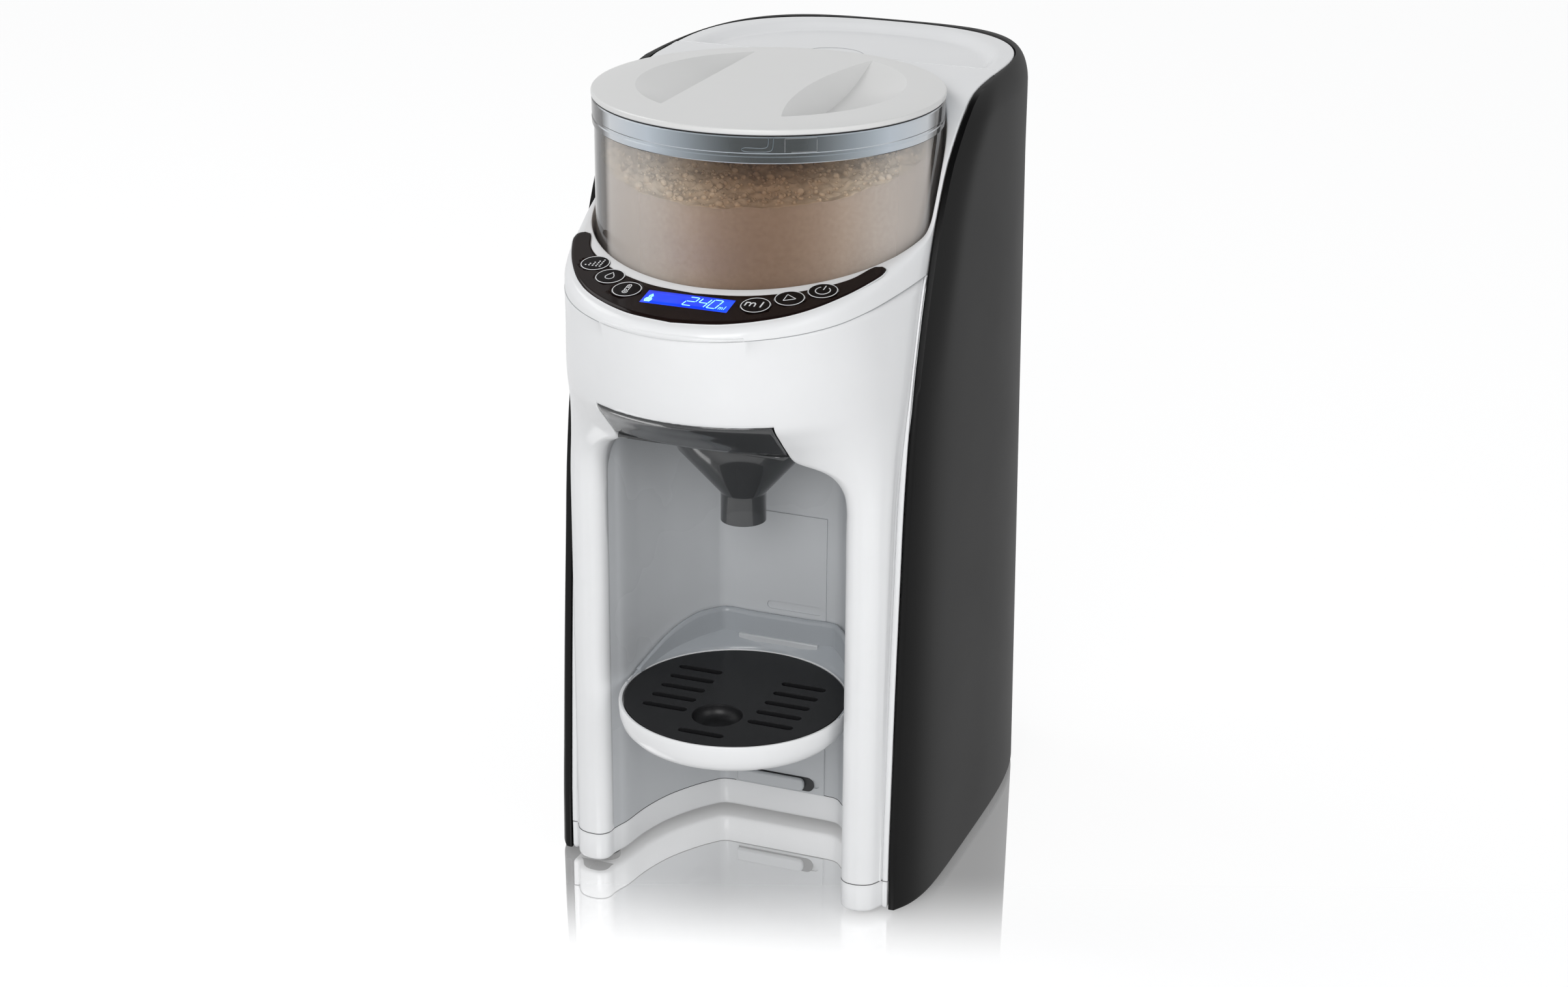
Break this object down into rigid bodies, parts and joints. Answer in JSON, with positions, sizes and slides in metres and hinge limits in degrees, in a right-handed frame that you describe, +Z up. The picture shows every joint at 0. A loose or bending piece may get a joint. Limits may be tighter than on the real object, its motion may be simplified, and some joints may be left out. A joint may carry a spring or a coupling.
{
  "type": "baby formula maker",
  "caption": "Countertop formula maker with a lidded powder hopper, rear water tank, sloping control panel, slide-out funnel and a drip tray in an open bottle bay.",
  "frame": {"origin": "centre of the bounding box at the underside of the rubber feet", "axes": "+Z up, -Y towards the front with the bottle bay and control panel, +X to the right seen from behind the machine's front face looking +Y"},
  "size_m": [0.1744, 0.2698, 0.3489],
  "materials": {
    "alu": "satin",
    "black_gloss": "gloss",
    "board_green": "satin",
    "brass": "satin",
    "button_gloss": "gloss",
    "clear": "gloss",
    "collar": "translucent",
    "dark_plastic": "satin",
    "dark_plate": "satin",
    "lcd": "gloss",
    "panel_gloss": "gloss",
    "powder": "matte",
    "rubber": "matte",
    "silicone": "matte",
    "smoky": "translucent",
    "steel": "satin",
    "tank_smoky": "gloss",
    "tube": "satin",
    "white_gloss": "gloss",
    "white_inner": "satin",
    "white_satin": "satin"
  },
  "bodies": {
    "housing": {"base_frame": "white_gloss", "front_housing": "white_gloss", "top_housing": "white_gloss", "bay_liner": "white_satin", "rail_panel": "white_satin", "side_shell_left": "black_gloss", "side_shell_right": "black_gloss", "rear_frame": "white_satin", "rear_cover": "black_gloss", "control_panel": "panel_gloss", "lcd_display": "lcd", "control_board": "board_green", "hopper_seat": "dark_plastic", "drive_plate": "alu", "motor": "steel", "tank_seal": "rubber", "heater": "alu", "pump": "dark_plastic", "water_tubes": "tube", "outlet_nozzle": "white_inner", "power_board": "board_green", "power_inlet": "dark_plastic", "feet": "rubber", "screws": "steel"},
    "hopper": {"hopper": "clear", "hopper_collar": "collar", "powder": "powder", "scraper": "white_inner"},
    "lid_ring": {"lid_seal": "silicone"},
    "lid": {"hopper_lid": "white_gloss"},
    "dosing_wheel": {"wheel_shaft": "steel", "dosing_wheel": "white_inner"},
    "drive_gear": {"drive_gear": "white_inner"},
    "motor_pinion": {"motor_pinion": "brass"},
    "funnel": {"funnel": "smoky"},
    "tray": {"tray_carrier": "white_satin", "tray_bowl": "white_gloss"},
    "tray_plate": {"tray_plate": "dark_plate"},
    "water_tank": {"water_tank": "tank_smoky"},
    "tank_cover": {"tank_cover": "white_gloss"},
    "tank_valve": {"tank_valve": "white_inner"},
    "button_strength": {"button_strength": "button_gloss"},
    "button_water": {"button_water": "button_gloss"},
    "button_heat": {"button_heat": "button_gloss"},
    "button_unit": {"button_unit": "button_gloss"},
    "button_start": {"button_start": "button_gloss"},
    "button_power": {"button_power": "button_gloss"}
  },
  "joints": [
    {"name": "hopper_lift", "type": "slide", "parent": "housing", "child": "hopper", "axis": [0, 0, 1], "range_m": [0, 0.1]},
    {"name": "lid_twist", "type": "hinge", "parent": "hopper", "child": "lid_ring", "pos_m": [0, -0.0256, 0.34], "axis": [0, 0, 1], "range_deg": [-30, 0]},
    {"name": "lid_lift", "type": "slide", "parent": "lid_ring", "child": "lid", "axis": [0, 0, 1], "range_m": [0, 0.06]},
    {"name": "dosing_wheel_turn", "type": "hinge", "parent": "hopper", "child": "dosing_wheel", "pos_m": [0, -0.0256, 0.268], "axis": [0, 0, 1], "continuous": true},
    {"name": "drive_gear_turn", "type": "hinge", "parent": "housing", "child": "drive_gear", "pos_m": [0, -0.0256, 0.25], "axis": [0, 0, 1], "continuous": true},
    {"name": "pinion_turn", "type": "hinge", "parent": "housing", "child": "motor_pinion", "pos_m": [0, 0.0014, 0.25], "axis": [0, 0, 1], "continuous": true},
    {"name": "funnel_slide", "type": "slide", "parent": "housing", "child": "funnel", "axis": [0, -1, 0], "range_m": [0, 0.11]},
    {"name": "tray_height", "type": "slide", "parent": "housing", "child": "tray", "axis": [0, 0, 1], "range_m": [-0.045, 0.04]},
    {"name": "tray_plate_lift", "type": "slide", "parent": "tray", "child": "tray_plate", "axis": [0, 0, 1], "range_m": [0, 0.03]},
    {"name": "tank_lift", "type": "slide", "parent": "housing", "child": "water_tank", "axis": [0, 0, 1], "range_m": [0, 0.22]},
    {"name": "tank_cover_lift", "type": "slide", "parent": "water_tank", "child": "tank_cover", "axis": [0, 0, 1], "range_m": [0, 0.05]},
    {"name": "tank_valve_travel", "type": "slide", "parent": "water_tank", "child": "tank_valve", "axis": [0, 0, 1], "range_m": [0, 0.003], "stiffness_N_per_m": 150},
    {"name": "button_strength_press", "type": "slide", "parent": "housing", "child": "button_strength", "axis": [0, 0.1961, -0.9806], "range_m": [0, 0.0008], "stiffness_N_per_m": 1200},
    {"name": "button_water_press", "type": "slide", "parent": "housing", "child": "button_water", "axis": [0, 0.1961, -0.9806], "range_m": [0, 0.0008], "stiffness_N_per_m": 1200},
    {"name": "button_heat_press", "type": "slide", "parent": "housing", "child": "button_heat", "axis": [0, 0.1961, -0.9806], "range_m": [0, 0.0008], "stiffness_N_per_m": 1200},
    {"name": "button_unit_press", "type": "slide", "parent": "housing", "child": "button_unit", "axis": [0, 0.1961, -0.9806], "range_m": [0, 0.0008], "stiffness_N_per_m": 1200},
    {"name": "button_start_press", "type": "slide", "parent": "housing", "child": "button_start", "axis": [0, 0.1961, -0.9806], "range_m": [0, 0.0008], "stiffness_N_per_m": 1200},
    {"name": "button_power_press", "type": "slide", "parent": "housing", "child": "button_power", "axis": [0, 0.1961, -0.9806], "range_m": [0, 0.0008], "stiffness_N_per_m": 1200}
  ],
  "couplings": [
    {"joint": "drive_gear_turn", "follows": "dosing_wheel_turn", "ratio": 1},
    {"joint": "pinion_turn", "follows": "dosing_wheel_turn", "ratio": -2}
  ]
}
